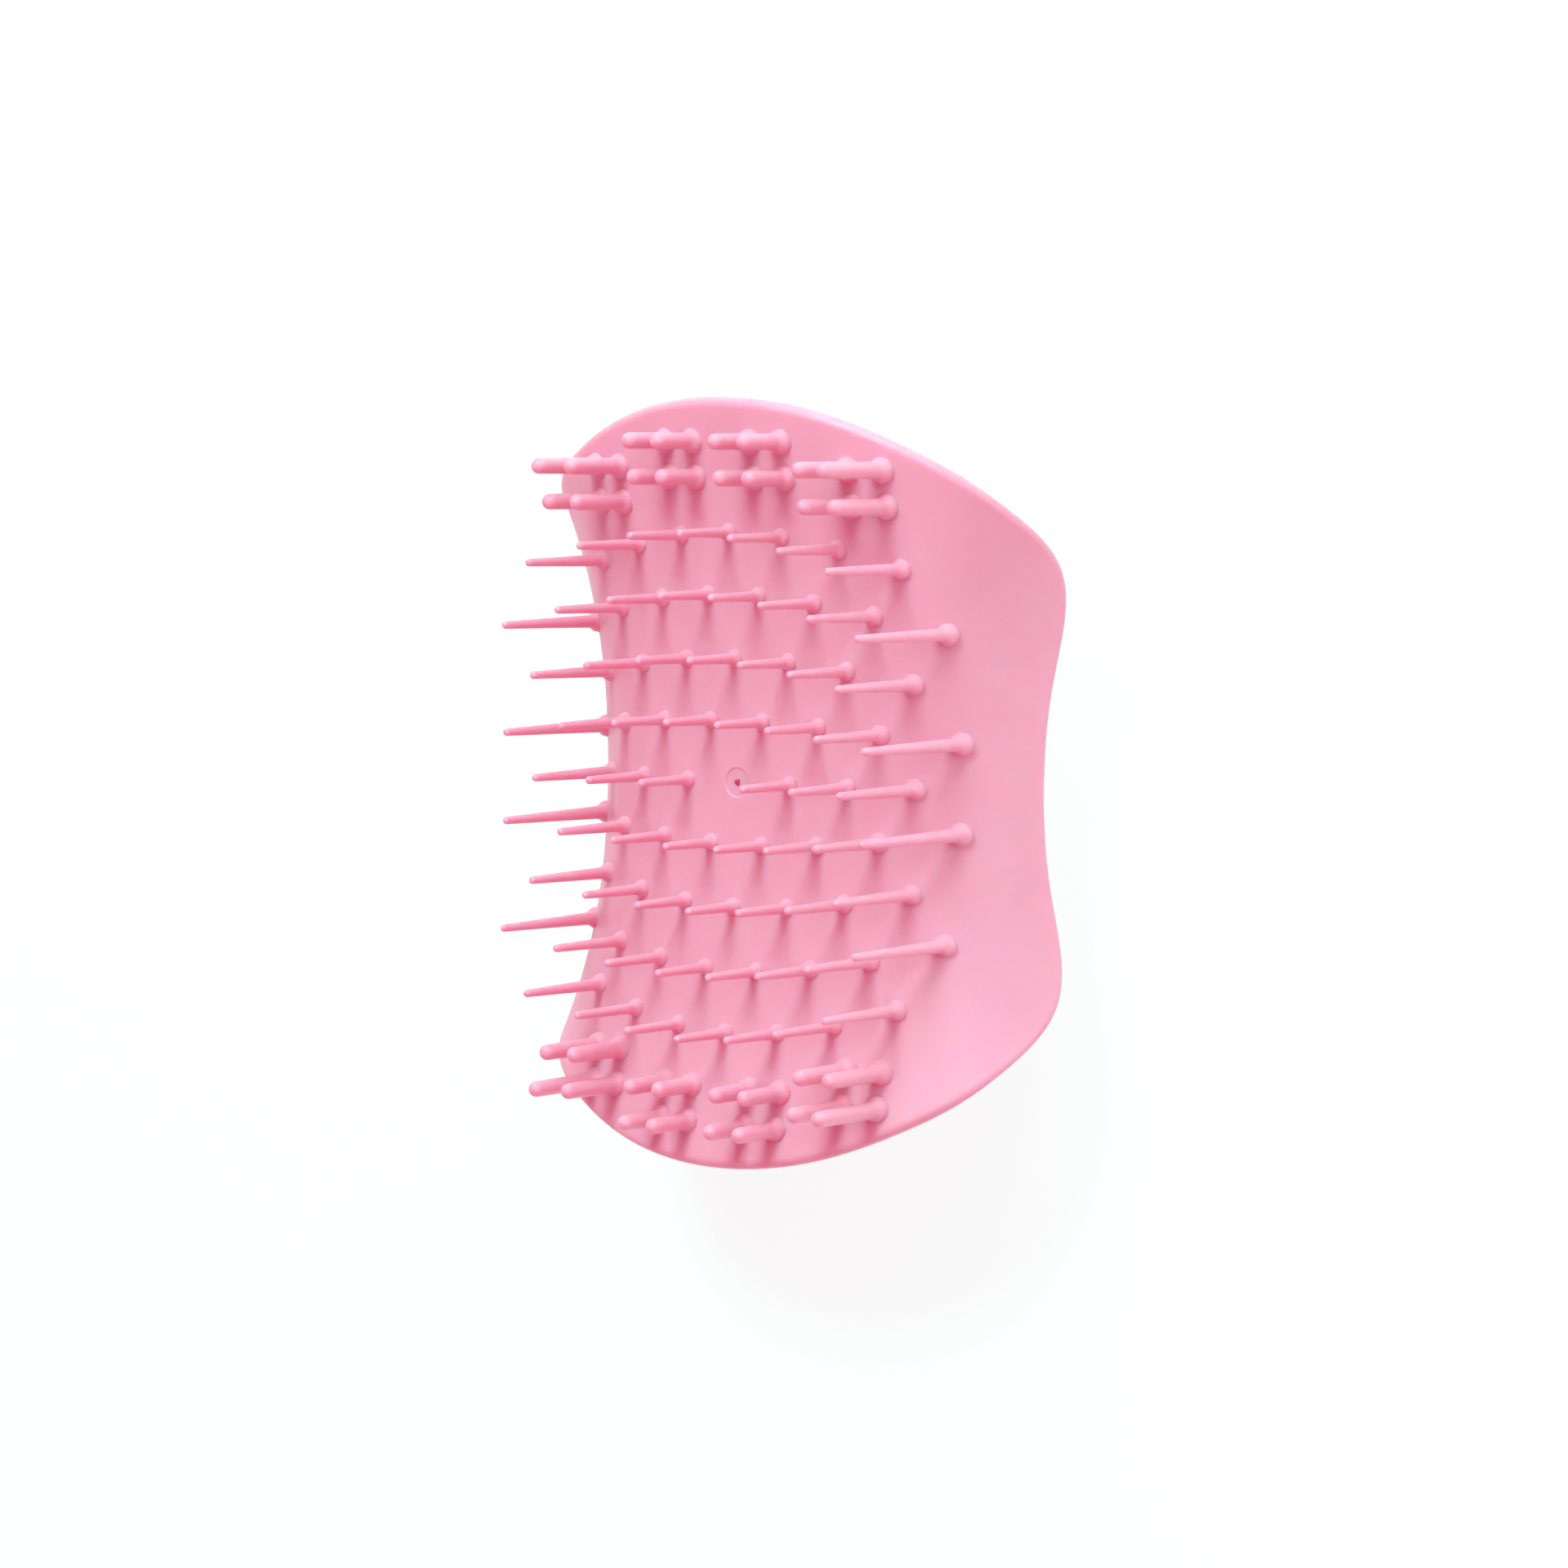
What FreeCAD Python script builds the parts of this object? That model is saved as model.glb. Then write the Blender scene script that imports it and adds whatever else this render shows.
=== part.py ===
import FreeCAD, Part
import math
import os

# Palm-held scalp massaging brush: a saddle-shaped tooth plate closing a hollow domed grip.
# Frame: the brush lies on its back with the teeth pointing up. X is across the width, Y is along
# the length, Z is up. The origin is the middle of the small flat on the crown of the grip.
# Every dimension is in millimetres.

V = FreeCAD.Vector

# ---- overall form -----------------------------------------------------------------------------
GATE_Z = 34.0            # height of the plate's middle above the resting flat
PLATE_T = 2.0            # wall of the tooth plate, measured square to the surface
SHELL_T = 2.0            # wall of the grip
RIM_R = 0.9              # rounding of the outer rim

# Outline seen along the teeth, one quarter of it, from the waist to the end. It is waisted at the
# sides, bulges near the corners and is bowed at the ends.
OUTLINE = [
    (32.7, 0.0),
    (33.4, 12.0),
    (34.7, 20.5),
    (34.8, 28.9),
    (32.1, 34.9),
    (25.2, 39.9),
    (13.9, 44.4),
    (0.0, 46.2),
]

# Saddle surface: it rises gently toward both ends and folds down steeply along both sides. The
# fold starts nearer the edge as the ends are approached.
SPAN_X = 30.0
SPAN_Y = 40.0
MIDDLE_RISE = 0.35       # crown of the saddle above the gate mark's level
END_RISE = 2.8           # rise at SPAN_Y from the middle, and the part of it that grows faster
END_RISE_4 = 0.8
SIDE_FALL = 4.8          # fall at SPAN_X from the middle, and its change toward the ends
SIDE_FALL_END = -0.64
FOLD_SLOPE = 1.10
FOLD_SLOPE_END = 1.46
FOLD_X = 23.0
FOLD_X_END = 14.2
FOLD_SOFT = 4.6

# Grip: each line down the dome runs from the rim in to the resting flat, and the level rounds
# of the dome change from the outline at the rim to an ellipse at the flat.
FLAT_RATIO = 0.28        # size of the resting flat against the outline
SIDE_POWER = 1.6         # how full the dome is toward its sides and toward its ends
END_POWER = 2.1
SIDE_RIM_Z = 17.0
END_RIM_Z = 40.0
LOWEST_RATIO = 0.4       # no edge of the dome comes nearer the middle than this
STATIONS = 64            # lines down the dome on which every surface is built
DOME_ROWS = 12
TOP_ROWS = 18
RIM_STEPS = 4
OVAL_FROM = 0.1          # share of the way out at which the plate's rows start to take up the
OVAL_OVER = 0.6          # outline's shape, and how much further out they have it
LEVEL_R = 2.2            # the plate is level out to this radius and takes up its saddle by twice it

# Locating lip under the plate, which drops inside the grip's wall.
LIP_GAP = 0.15
LIP_T = 1.4
LIP_H = 3.0

# ---- fine teeth: (teeth in the row, pitch, Y of the row's middle, bow) --------------------------
# The rows of one half; the middle row lies on the X axis and the others are mirrored. A positive
# bow brings the ends of a row back toward the middle of the brush.
FINE_ROWS = [
    (7, 7.39, 29.6, 0.0079),
    (8, 7.46, 22.25, 0.0060),
    (7, 7.54, 14.72, 0.0048),
    (8, 7.58, 7.34, 0.0029),
    (7, 7.53, 0.0, 0.0),
]
FINE_TIP_R = 0.47
FINE_DRAFT = 0.0195      # growth in radius per millimetre down from the tip
FINE_FLARE = 0.62        # reach and height of the flare round the root
TIP_LEVEL = 9.2          # tips above the gate mark at the middle of the brush
TIP_RISE_X = 0.0031
TIP_RISE_Y = 0.0030

# ---- massage teeth: clusters of four, with each tip's height above the gate mark ------------------
# A tooth of a cluster is named by its place: +1 is the tooth nearer the side or the end.
CLUSTER_HALF = 2.12
MIDDLE_CLUSTER = (6.38, 38.19)
SIDE_CLUSTER = (18.97, 35.06)
MIDDLE_TIPS = {(-1, -1): 10.35, (1, -1): 10.35, (-1, 1): 11.35, (1, 1): 11.35}
SIDE_TIPS = {(-1, -1): 10.7, (1, -1): 10.7, (-1, 1): 11.8, (1, 1): 12.7}
MASSAGE_TIP_R = 0.95
MASSAGE_DRAFT = 0.006
MASSAGE_FLARE = 0.66
FLARE_SINK = 0.35        # depth of a flare's base below the surface
FLARE_BITE = 0.07        # overlap of a flare with its shaft

# ---- gate mark in the middle of the plate --------------------------------------------------------
GATE_DISC_R = 1.83       # shallow round dimple
GATE_FLOOR = 0.88        # size of the dimple's floor against its rim
GATE_DISC_DEPTH = 0.11
GATE_STUB_R = 0.28       # what is left of the sprue
GATE_STUB_ROOT_R = 0.36
GATE_STUB_H = 0.18
GATE_STUB_SINK = 0.5


def fold(t):
    """Zero well inside the fold line, growing one for one well outside it."""
    return 0.5 * (t + math.sqrt(t * t + FOLD_SOFT * FOLD_SOFT))


def plate_z(x, y):
    """Height of the plate's top surface."""
    along = (y / SPAN_Y) ** 2
    line = FOLD_X + FOLD_X_END * along
    rise = MIDDLE_RISE + END_RISE * along + END_RISE_4 * along * along
    fall = (SIDE_FALL + SIDE_FALL_END * along) * (x / SPAN_X) ** 2
    drop = (FOLD_SLOPE + FOLD_SLOPE_END * along) * (fold(abs(x) - line) - fold(-line))
    return GATE_Z + rise - fall - drop


def plate_slope(x, y):
    step = 0.01
    slope_x = (plate_z(x + step, y) - plate_z(x - step, y)) / (2 * step)
    slope_y = (plate_z(x, y + step) - plate_z(x, y - step)) / (2 * step)
    return slope_x, slope_y


def plate_normal(x, y):
    slope_x, slope_y = plate_slope(x, y)
    normal = V(-slope_x, -slope_y, 1)
    return normal.normalize()


def plate_point(x, y, depth):
    """The point above x, y on the surface that lies depth below the plate's top."""
    slope_x, slope_y = plate_slope(x, y)
    return V(x, y, plate_z(x, y) - depth * math.sqrt(1 + slope_x * slope_x + slope_y * slope_y))


# ---- closed rows of points round the brush -------------------------------------------------------
def outline_points():
    """The outline's four mirrored quarters, in order round the brush."""
    quarter = OUTLINE
    second = [(-x, y) for x, y in reversed(quarter[:-1])]
    half = quarter + second
    other = [(x, -y) for x, y in reversed(half[1:-1])]
    curve = Part.BSplineCurve()
    curve.interpolate(Points=[V(x, y, 0) for x, y in half + other], PeriodicFlag=True)
    first = curve.FirstParameter
    span = curve.LastParameter - first
    return [curve.value(first + span * i / STATIONS) for i in range(STATIONS)]


RIM = outline_points()


def dome_point(i, ratio):
    """A point on the dome's outer surface at station i. The ratio is 1 at the rim and falls to
    FLAT_RATIO at the resting flat."""
    rim = RIM[i % STATIONS]
    rim_z = plate_z(rim.x, rim.y)
    part = max(0.0, (ratio - FLAT_RATIO) / (1 - FLAT_RATIO))
    power = SIDE_POWER + (END_POWER - SIDE_POWER) * (rim_z - SIDE_RIM_Z) / (END_RIM_Z - SIDE_RIM_Z)
    half_x = OUTLINE[0][0]
    half_y = OUTLINE[-1][1]
    angle = math.atan2(rim.y / half_y, rim.x / half_x)
    blend = (1 - part) ** 2
    x = rim.x + blend * (half_x * math.cos(angle) - rim.x)
    y = rim.y + blend * (half_y * math.sin(angle) - rim.y)
    return V(x * ratio, y * ratio, rim_z * part ** power)


def dome_normal(i, ratio):
    """The outward direction of the dome's surface."""
    if ratio <= FLAT_RATIO:
        return V(0, 0, -1)
    outer = dome_point(i, ratio + 0.005)
    inner = dome_point(i, max(FLAT_RATIO, ratio - 0.005))
    along = dome_point(i + 1, ratio) - dome_point(i - 1, ratio)
    return along.cross(outer - inner).normalize()


def inset_point(i, ratio, inset):
    return dome_point(i, ratio) - dome_normal(i, ratio) * inset


def ratio_where(low, high, test):
    """The ratio between low and high above which the test holds."""
    for _ in range(30):
        middle = (low + high) / 2
        if test(middle):
            high = middle
        else:
            low = middle
    return (low + high) / 2


def crossing(i, inset, depth):
    """The ratio at which the dome moved inward by inset passes depth below the plate's top."""
    def above(ratio):
        point = inset_point(i, ratio, inset)
        return point.z > plate_point(point.x, point.y, depth).z
    return ratio_where(LOWEST_RATIO, 1.0, above)


def wall_row(inset, depth):
    """The row where the dome moved inward by inset passes depth below the plate's top."""
    return [inset_point(i, crossing(i, inset, depth), inset) for i in range(STATIONS)]


def wall_rows(inset, depth_from, depth_to, count):
    """Rows down the dome moved inward by inset, from one depth to another."""
    rows = []
    for k in range(count):
        depth = depth_from + (depth_to - depth_from) * k / (count - 1)
        rows.append(wall_row(inset, depth))
    return rows


def dome_rows(inset, count):
    """Rows down the dome moved inward by inset, from the parting face to the flat at its foot."""
    starts = [crossing(i, inset, PLATE_T) for i in range(STATIONS)]
    rows = []
    for k in range(count):
        share = k / (count - 1)
        rows.append([inset_point(i, FLAT_RATIO + (starts[i] - FLAT_RATIO) * (1 - share), inset)
                     for i in range(STATIONS)])
    return rows


def plate_rows(edge, depth, shares):
    """Rows over a surface depth below the plate's top, inward from a row of edge points. They
    turn from the outline's shape to level circles round the middle."""
    half_x = OUTLINE[0][0]
    half_y = OUTLINE[-1][1]
    rows = []
    for share in shares:
        oval = smooth((share - OVAL_FROM) / OVAL_OVER)
        level = 1 - smooth((share * half_x - LEVEL_R) / LEVEL_R)
        row = []
        for point in edge:
            angle = math.atan2(point.y / half_y, point.x / half_x)
            x = share * (half_x * math.cos(angle) * (1 - oval) + point.x * oval)
            y = share * (half_x * math.sin(angle) * (1 - oval) + point.y * oval)
            here = plate_point(x, y, depth)
            middle = plate_point(0, 0, depth)
            row.append(V(x, y, here.z + (middle.z - here.z) * level))
        rows.append(row)
    return rows


def smooth(t):
    """0 up to 0, 1 from 1 on, and a soft step between."""
    t = min(max(t, 0.0), 1.0)
    return t * t * (3 - 2 * t)


def rim_rows():
    """Rows round the rolled rim, from the plate's top to the dome's side."""
    rows = [[] for _ in range(RIM_STEPS + 1)]
    for i in range(STATIONS):
        ridge = dome_point(i, 1.0)
        up = plate_normal(ridge.x, ridge.y)
        out = dome_normal(i, 1.0)
        ball = ridge - (up + out) * (RIM_R / (1 + up.dot(out)))
        top = ball + up * RIM_R
        side = ball + out * RIM_R
        reach = (side - ridge).Length
        ratio = ratio_where(LOWEST_RATIO, 1.0, lambda r: (dome_point(i, r) - ridge).Length < reach)
        top_error = plate_point(top.x, top.y, 0.0) - top
        side_error = dome_point(i, ratio) - side
        angle = math.acos(up.dot(out))
        for k in range(RIM_STEPS + 1):
            share = k / RIM_STEPS
            turned = up * math.sin((1 - share) * angle) + out * math.sin(share * angle)
            point = ball + turned * (RIM_R / math.sin(angle))
            rows[k].append(point + top_error * (1 - share) + side_error * share)
    return rows


# ---- surfaces and solids from rows ---------------------------------------------------------------
def closed_curve(row):
    curve = Part.BSplineCurve()
    curve.interpolate(Points=row, PeriodicFlag=True, Parameters=[float(i) for i in range(STATIONS + 1)])
    return curve


def smooth_surface(rows):
    """A smooth closed surface through closed rows of points, and its parameter at each row."""
    rounds = [closed_curve(row) for row in rows]
    down = [0.0]
    for first, last in zip(rows, rows[1:]):
        steps = [(b - a).Length for a, b in zip(first, last)]
        down.append(down[-1] + sum(steps) / len(steps))
    columns = []
    for poles in zip(*[curve.getPoles() for curve in rounds]):
        curve = Part.BSplineCurve()
        curve.interpolate(Points=list(poles), Parameters=down)
        columns.append(curve)
    surface = Part.BSplineSurface()
    surface.buildFromPolesMultsKnots(
        [curve.getPoles() for curve in columns],
        rounds[0].getMultiplicities(), columns[0].getMultiplicities(),
        rounds[0].getKnots(), columns[0].getKnots(),
        True, False, rounds[0].Degree, columns[0].Degree)
    return surface, down


def band(rows):
    """One face through closed rows of points."""
    surface, _ = smooth_surface(rows)
    return surface.toShape()


def strips(rows):
    """The same surface as a band, as one face between each row and the next."""
    surface, down = smooth_surface(rows)
    return [surface.toShape(0.0, float(STATIONS), first, last) for first, last in zip(down, down[1:])]


def cap(row):
    """The level face inside a level row."""
    return Part.Face(Part.Wire(closed_curve(row).toShape()))


def solid_from(faces):
    shell = Part.makeShell(faces)
    shell.sewShape()
    solid = Part.makeSolid(shell)
    if solid.Volume < 0:
        solid.reverse()
    return solid


# ---- teeth ---------------------------------------------------------------------------------------
def shaft(tooth):
    """A drafted round tooth with a ball tip. Its flat root ends in the middle of the plate's wall."""
    x, y, tip_z, tip_r, draft, _ = tooth
    slope_x, slope_y = plate_slope(x, y)
    stretch = math.sqrt(1 + slope_x * slope_x + slope_y * slope_y)
    root_z = plate_z(x, y) - PLATE_T / 2 * stretch
    ball_z = tip_z - tip_r
    root_r = tip_r + draft * (ball_z - root_z)
    corner = tip_r * math.sqrt(0.5)
    profile = [
        Part.LineSegment(V(0, 0, root_z), V(root_r, 0, root_z)),
        Part.LineSegment(V(root_r, 0, root_z), V(tip_r, 0, ball_z)),
        Part.Arc(V(tip_r, 0, ball_z), V(corner, 0, ball_z + corner), V(0, 0, tip_z)),
        Part.LineSegment(V(0, 0, tip_z), V(0, 0, root_z)),
    ]
    solid = Part.makeSolid(Part.Face(Part.Wire([c.toShape() for c in profile])).revolve(
        V(), V(0, 0, 1), 360))
    solid.translate(V(x, y, 0))
    return solid


def flare(tooth):
    """The fillet-like flare round a tooth's root. It follows the plate, so on the folded sides it
    is an ellipse, long in the direction of the slope."""
    x, y, tip_z, tip_r, draft, reach = tooth
    root = V(x, y, plate_z(x, y))
    radius = tip_r + draft * (tip_z - tip_r - root.z)
    normal = plate_normal(x, y)
    lean = 1 / normal.z
    across = V(0, 0, 1).cross(normal)
    if across.Length < 1e-6:
        across = V(0, 1, 0)
    across.normalize()
    uphill = across.cross(normal)
    rings = []
    for height in (-FLARE_SINK, reach):
        grow = reach - height
        middle = root + V(0, 0, 1) * (max(height, 0.0) * lean)
        if height < 0:
            middle = root - normal * FLARE_SINK
        long_r = radius * lean + grow - FLARE_BITE
        short_r = radius + grow - FLARE_BITE
        ring = Part.Ellipse(middle + uphill * long_r, middle + across * short_r, middle)
        rings.append(Part.Wire(ring.toShape()))
    return Part.makeLoft(rings, True, True)


def fine_teeth(row):
    """The fine teeth of a row, counted from 0 at the +Y end. A tooth is its x, y, tip height, tip
    radius, draft and flare."""
    count, pitch, middle_y, bow = FINE_ROWS[min(row, 8 - row)]
    teeth = []
    for i in range(count):
        x = (i - (count - 1) / 2) * pitch
        y = middle_y - bow * x * x
        if middle_y == 0 and abs(x) < GATE_DISC_R:
            continue
        if row > 4:
            y = -y
        tip_z = GATE_Z + TIP_LEVEL + TIP_RISE_X * x * x + TIP_RISE_Y * y * y
        teeth.append((x, y, tip_z, FINE_TIP_R, FINE_DRAFT, FINE_FLARE))
    return teeth


def massage_teeth(centre, tips, side, end):
    """The four thick teeth of the cluster on one side (+1 right) and at one end (+1 top)."""
    teeth = []
    for (outward, endward), tip in tips.items():
        x = side * (centre[0] + outward * CLUSTER_HALF)
        y = end * (centre[1] + endward * CLUSTER_HALF)
        teeth.append((x, y, GATE_Z + tip, MASSAGE_TIP_R, MASSAGE_DRAFT, MASSAGE_FLARE))
    return teeth


def tooth_groups():
    """Every group of teeth by its node's name."""
    groups = {}
    for row in range(9):
        groups["fine_tooth_row_%d" % (row + 1)] = fine_teeth(row)
    for end, end_name in ((1, "top"), (-1, "bottom")):
        for side, side_name in ((-1, "left"), (1, "right")):
            for place, centre, tips in (("outer", SIDE_CLUSTER, SIDE_TIPS),
                                        ("inner", MIDDLE_CLUSTER, MIDDLE_TIPS)):
                name = "massage_cluster_%s_%s_%s" % (end_name, side_name, place)
                groups[name] = massage_teeth(centre, tips, side, end)
    return groups


# ---- nodes ---------------------------------------------------------------------------------------
def save(name, shape):
    shape.exportStep("parts/" + name + ".step")
    sizes = shape.BoundBox
    print("%-24s solids %2d valid %s  %.2f..%.2f  %.2f..%.2f  %.2f..%.2f  vol %.0f" % (
        name, len(shape.Solids), shape.isValid(), sizes.XMin, sizes.XMax, sizes.YMin, sizes.YMax,
        sizes.ZMin, sizes.ZMax, shape.Volume))


def back_shell():
    """The hollow grip, from its parting face down to the resting flat."""
    outer = dome_rows(0.0, DOME_ROWS)
    inner = dome_rows(SHELL_T, DOME_ROWS)
    return solid_from([
        band([outer[0], inner[0]]),
        band(outer),
        cap(outer[-1]),
        band(inner),
        cap(inner[-1]),
    ])


def blank_plate():
    """The plate's wall with its rolled rim, parting face, locating lip and gate mark."""
    rim = rim_rows()
    shares = [1.0 - (1.0 - GATE_DISC_R / OUTLINE[0][0]) * k / (TOP_ROWS - 1) for k in range(TOP_ROWS)]
    top = plate_rows(rim[0], 0.0, shares)
    top[0] = rim[0]
    sunk = [V(p.x * GATE_FLOOR, p.y * GATE_FLOOR, p.z - GATE_DISC_DEPTH) for p in top[-1]]
    seam = wall_row(0.0, PLATE_T)
    inner_seam = wall_row(SHELL_T, PLATE_T)
    lip_outside = wall_rows(SHELL_T + LIP_GAP, PLATE_T, PLATE_T + LIP_H, 3)
    lip_inside = wall_rows(SHELL_T + LIP_GAP + LIP_T, PLATE_T + LIP_H, PLATE_T, 3)
    under = plate_rows(lip_inside[-1], PLATE_T, shares)
    under[0] = lip_inside[-1]
    return solid_from([
        cap(sunk),
        band([sunk, top[-1]]),
        band(top),
        *strips(rim),
        band([rim[-1], seam]),
        band([seam, inner_seam]),
        band([inner_seam, lip_outside[0]]),
        band(lip_outside),
        band([lip_outside[-1], lip_inside[0]]),
        band(lip_inside),
        band(under),
        cap(under[-1]),
    ])


def tooth_plate(groups):
    """The plate with its root flares, tooth seats and the stub at the middle of the gate mark."""
    middle = plate_z(0, 0) - GATE_DISC_DEPTH
    stub = Part.makeCone(GATE_STUB_ROOT_R, GATE_STUB_R, GATE_STUB_H + GATE_STUB_SINK,
                         V(0, 0, middle - GATE_STUB_SINK))
    teeth = [tooth for group in groups.values() for tooth in group]
    plate = blank_plate().fuse([stub] + [flare(tooth) for tooth in teeth])
    return plate.cut([shaft(tooth) for tooth in teeth])


def main():
    os.makedirs("parts", exist_ok=True)
    save("back_shell", back_shell())
    groups = tooth_groups()
    save("tooth_plate", tooth_plate(groups))
    for name, teeth in groups.items():
        save(name, Part.makeCompound([shaft(tooth) for tooth in teeth]))


main()
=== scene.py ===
import math

import bmesh
import bpy
import numpy as np
from mathutils import Matrix, Vector
from mathutils.geometry import delaunay_2d_cdt


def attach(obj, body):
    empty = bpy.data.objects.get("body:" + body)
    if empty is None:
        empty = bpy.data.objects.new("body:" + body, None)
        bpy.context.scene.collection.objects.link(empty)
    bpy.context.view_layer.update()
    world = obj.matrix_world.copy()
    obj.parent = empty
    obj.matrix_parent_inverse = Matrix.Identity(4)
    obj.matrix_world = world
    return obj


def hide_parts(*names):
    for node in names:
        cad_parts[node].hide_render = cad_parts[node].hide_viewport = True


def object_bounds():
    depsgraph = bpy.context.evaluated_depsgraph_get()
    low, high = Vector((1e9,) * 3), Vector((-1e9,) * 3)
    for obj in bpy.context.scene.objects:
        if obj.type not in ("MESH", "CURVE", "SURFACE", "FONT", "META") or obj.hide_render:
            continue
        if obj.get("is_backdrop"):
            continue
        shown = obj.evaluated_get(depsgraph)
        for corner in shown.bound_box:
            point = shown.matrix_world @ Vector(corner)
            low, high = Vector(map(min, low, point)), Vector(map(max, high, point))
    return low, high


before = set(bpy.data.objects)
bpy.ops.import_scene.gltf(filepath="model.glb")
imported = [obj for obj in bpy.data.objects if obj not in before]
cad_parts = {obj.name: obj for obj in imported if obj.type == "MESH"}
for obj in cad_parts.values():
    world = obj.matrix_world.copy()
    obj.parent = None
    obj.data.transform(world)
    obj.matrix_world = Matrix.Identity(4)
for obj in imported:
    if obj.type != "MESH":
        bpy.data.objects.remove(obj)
cad_box = [list(corner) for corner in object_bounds()]

# The meshes are worked out in millimetres and scaled to metres when they are made.
MM = 0.001

# ---- the plate, as in the CAD --------------------------------------------------------------------
GATE_Z = 34.0           # height of the plate's middle above the resting flat
PLATE_T = 2.0           # wall of the plate
RIM_R = 0.97            # a little rounder than the CAD's rim, which keeps the plate in the CAD's box
OUTLINE = [(32.7, 0), (33.4, 12), (34.7, 20.5), (34.8, 28.9), (32.1, 34.9), (25.2, 39.9),
           (13.9, 44.4), (0, 46.2)]
SPAN_X = 30.0
SPAN_Y = 40.0
MIDDLE_RISE = 0.35
END_RISE = 2.8
END_RISE_4 = 0.8
SIDE_FALL = 4.8
SIDE_FALL_END = -0.64
FOLD_SLOPE = 1.10
FOLD_SLOPE_END = 1.46
FOLD_X = 23.0
FOLD_X_END = 14.2
FOLD_SOFT = 4.6

# ---- the grip's dome, as in the CAD --------------------------------------------------------------
SHELL_T = 2.0           # wall of the grip
FLAT_RATIO = 0.28       # size of the resting flat against the outline
INNER_FLAT_RATIO = FLAT_RATIO + 0.01
LOWEST_RATIO = 0.5      # the seam is nowhere nearer the middle than this
SIDE_POWER = 1.6        # how full the dome is toward its sides and toward its ends
END_POWER = 2.1
SIDE_RIM_Z = 17.0
END_RIM_Z = 40.0

# ---- details -------------------------------------------------------------------------------------
SEAM_BEVEL = 0.22       # the soft edges that draw the seam between plate and grip
TIP_R = {"fine": 0.47, "massage": 0.95}       # radius of the ball tips, as in the CAD
KNOB_SIZE = {"fine": 1.64, "massage": 1.52}   # radius of the knob round a tooth's root, against it
KNOB_DROP = 1.15        # depth of the knob below its middle, against its radius
NECK_R = 1.1            # hollow curve from the knob up into the shaft
GATE_DISC_R = 1.72      # shallow round dimple round the gate mark
GATE_DISC_DEPTH = 0.17
GATE_WALL = 0.22        # width of the dimple's sloping wall
VESTIGE_R = 0.36
VESTIGE_H = 0.20
VESTIGE_ROOT = 0.3      # how far the vestige goes down into the plate
VESTIGE_HOLLOW = 0.3    # height of the middle of its torn end, against VESTIGE_H
VESTIGE_SIDES = 28

# Radius and height of each of the vestige's rings, against VESTIGE_R and VESTIGE_H.
VESTIGE_RINGS = ((1.15, -0.3), (1.1, 0.0), (0.9, 0.45), (0.7, 0.85), (0.5, 1.0), (0.3, 0.55))

# ---- texture sizes: features per metre, and the grain's depth in metres --------------------------
CLOUD_SCALE = 110
SHEEN_SCALE = 420
GRAIN_SCALE = 3200
PAPER_SCALE = 900
GRAIN_DEPTH = 0.00002

# ---- colours -------------------------------------------------------------------------------------
PLATE_PINKS = ((0.88, 0.44, 0.56), (0.86, 0.415, 0.535))   # a pale and a deeper one, softly mixed
GRIP_PINKS = ((0.88, 0.43, 0.55), (0.86, 0.405, 0.525))
TORN_PINKS = ((0.66, 0.06, 0.14), (0.5, 0.03, 0.08))
SHINE_TINT = (1.0, 0.64, 0.70)
SCATTER = (1.0, 0.16, 0.24)         # red light travels furthest in the plastic
FLOOR_COLOUR = (0.16, 0.24, 0.22)   # a little green, against the pink light from above
FLOOR_GLOW = (0.97, 1.0, 0.99)

# The fill light is pink and the lamps a little cyan, so the plastic is nearly as red in its shadows
# as in the light, and the shadows are deeper pinks rather than greys.
OVERHEAD = (0.67, 0.235, 0.33)
HORIZON = (0.90, 0.88, 0.885)
KEY_TINT = (0.52, 1.0, 0.94)
SIDE_TINT = (0.45, 1.0, 0.95)
END_TINT = (0.50, 1.0, 0.95)

# ---- studio --------------------------------------------------------------------------------------
FLOOR_HALF = 3.0
FLOOR_DROP = 0.0002     # the floor's gap below the brush
LAMP_DISTANCE = 0.9
HORIZON_TOP = 0.06      # sine of the elevation where the pale horizon starts to fade
OVERHEAD_FOOT = 0.16    # sine of the elevation from which the overhead colour is full
CAMERA_YAW = math.radians(37.07)
CAMERA_TILT = math.radians(4.04)
CAMERA_ROLL = math.radians(-0.44)
CAMERA_PLACE = (5.4, -0.2, 632.9)   # from the gate mark, along the camera's right, up and back
CAMERA_LENS = 122.7

# ---- mesh fineness -------------------------------------------------------------------------------
STATIONS = 480          # points round the brush
FIRST_TOP_R = 0.3       # innermost ring of points on the plate's top
DIMPLE_END_R = 3.0      # out to here the rings are close together, for the gate's dimple
COARSE_TOP_R = 3.4      # from here to the edge they are evenly spaced
OVAL_FROM = 0.1         # share of the way out at which the rings start to take up the outline's
OVAL_OVER = 0.6         # shape, and how much further out they have it
TOP_RINGS = 104
UNDER_RINGS = 16
UNDER_SHARE = 0.05      # size of the underside's innermost ring against its outermost
DOME_RINGS = 56
RIM_STEPS = 10
WALL_SHARES = (0.35, 0.7)            # rings down the plate's side wall, from the rim to the seam
SEAM_STEPS = 4
TOOTH_SIDES = 40
KNOB_STEPS = 20
SHAFT_STEPS = 9
TIP_STEPS = 9
COLLARS = (1.07, 1.16, 1.28, 1.44)   # rings of points round a tooth's foot, against the foot's size
COLLAR_CLEAR = 1.08     # the other points stay this much further out than the last collar
COLLAR_REACH = 3        # teeth within this many foot sizes can cut a collar
RATIO_HALVINGS = 30     # steps of the searches that halve their range each time
FOOT_HALVINGS = 40
INSIDE_OUTLINE = 1      # the triangulation keeps what its outlines enclose
MERGE_DISTANCE = 1e-9


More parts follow.
